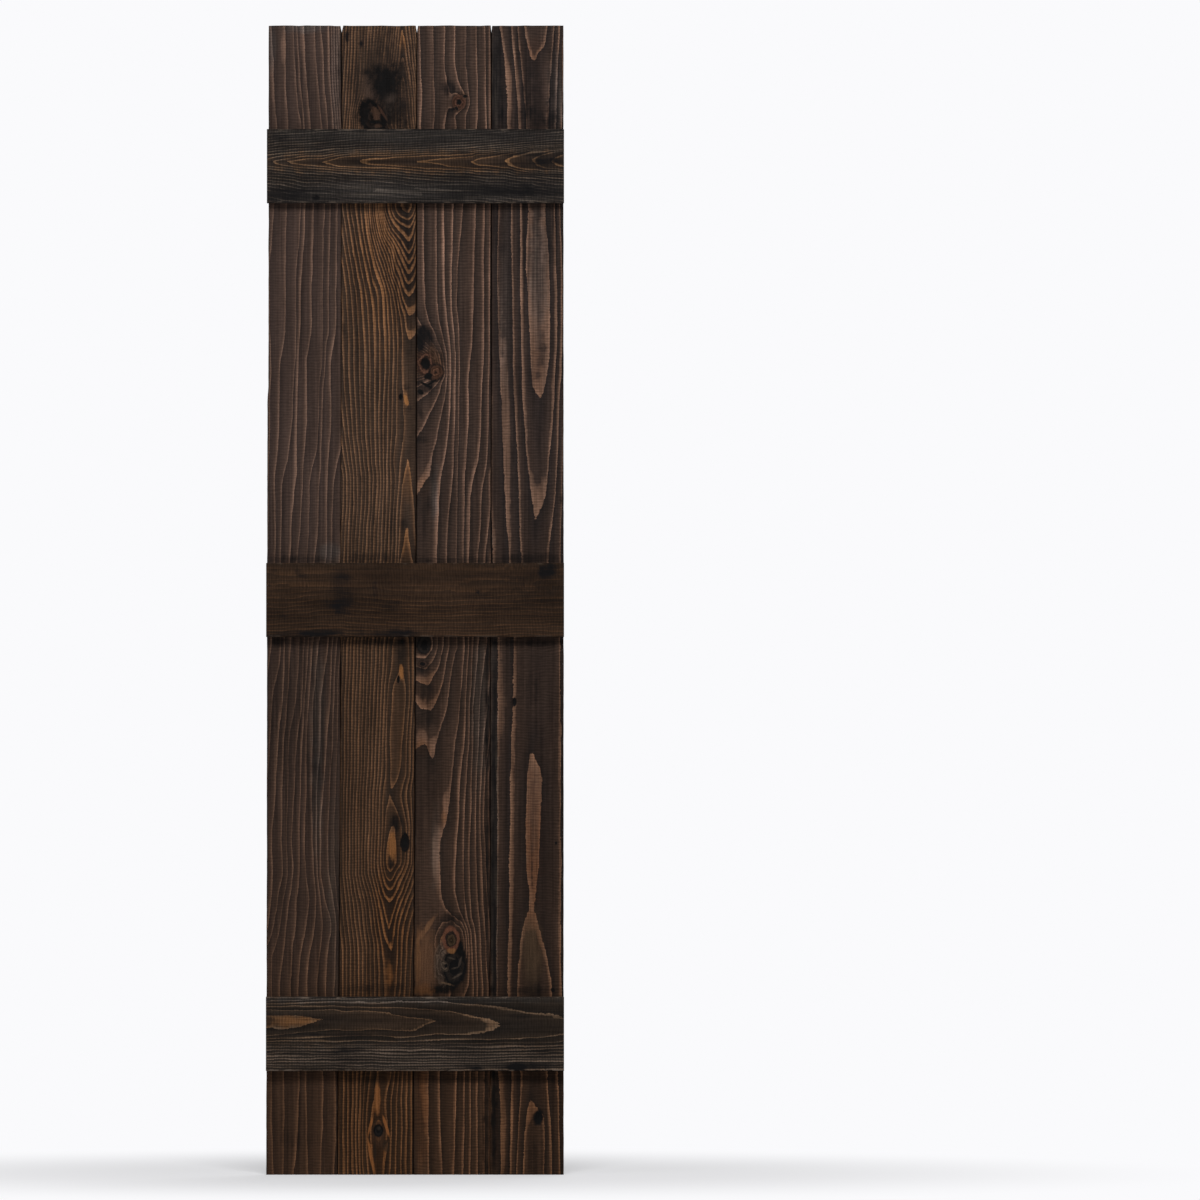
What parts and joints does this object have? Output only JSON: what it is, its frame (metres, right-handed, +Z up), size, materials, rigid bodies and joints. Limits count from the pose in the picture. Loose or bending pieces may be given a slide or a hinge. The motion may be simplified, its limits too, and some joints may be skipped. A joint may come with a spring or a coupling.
{
  "type": "board and batten shutter",
  "caption": "Fixed exterior window shutter of upright rough-sawn boards, held flush by cross battens on the front and screwed from behind.",
  "frame": {"origin": "middle of the shutter's back, on the plane that lies against the wall", "axes": "+X across the shutter to the right as seen from the front, +Y into the wall, +Z up"},
  "size_m": [0.3556, 0.0381, 1.3716],
  "materials": {
    "stained_board": "dark stain on rough-sawn softwood",
    "stained_batten": "dark stain on rough-sawn softwood",
    "screw_steel": "yellow zinc plating, slightly dulled"
  },
  "bodies": {
    "root": {"left_outer_board": "stained_board", "left_inner_board": "stained_board", "right_inner_board": "stained_board", "right_outer_board": "stained_board", "top_batten": "stained_batten", "middle_batten": "stained_batten", "bottom_batten": "stained_batten", "top_batten_screw_1": "screw_steel", "top_batten_screw_2": "screw_steel", "top_batten_screw_3": "screw_steel", "top_batten_screw_4": "screw_steel", "top_batten_screw_5": "screw_steel", "top_batten_screw_6": "screw_steel", "top_batten_screw_7": "screw_steel", "top_batten_screw_8": "screw_steel", "middle_batten_screw_1": "screw_steel", "middle_batten_screw_2": "screw_steel", "middle_batten_screw_3": "screw_steel", "middle_batten_screw_4": "screw_steel", "middle_batten_screw_5": "screw_steel", "middle_batten_screw_6": "screw_steel", "middle_batten_screw_7": "screw_steel", "middle_batten_screw_8": "screw_steel", "bottom_batten_screw_1": "screw_steel", "bottom_batten_screw_2": "screw_steel", "bottom_batten_screw_3": "screw_steel", "bottom_batten_screw_4": "screw_steel", "bottom_batten_screw_5": "screw_steel", "bottom_batten_screw_6": "screw_steel", "bottom_batten_screw_7": "screw_steel", "bottom_batten_screw_8": "screw_steel"}
  },
  "joints": []
}
